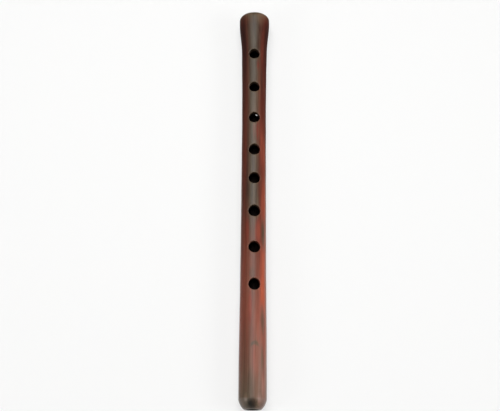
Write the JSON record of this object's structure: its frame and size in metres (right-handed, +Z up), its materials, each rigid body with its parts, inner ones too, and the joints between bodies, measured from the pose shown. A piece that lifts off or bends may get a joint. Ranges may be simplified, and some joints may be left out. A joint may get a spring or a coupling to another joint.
{
  "type": "balaban pipe",
  "caption": "Bare body of a double-reed woodwind: a slim round wooden pipe, flared at the head, with finger holes along the front, a thumb hole behind and a rounded foot.",
  "frame": {"origin": "on the surface that the pipe lies on, under the middle of its length", "axes": "+Y along the bore from the foot to the head, +Z up through the finger holes, +X to the right seen from the foot"},
  "size_m": [0.024, 0.316, 0.024],
  "materials": {
    "wood": "dark red streaked hardwood, oiled to a satin"
  },
  "bodies": {
    "root": {"pipe": "wood"}
  },
  "joints": []
}
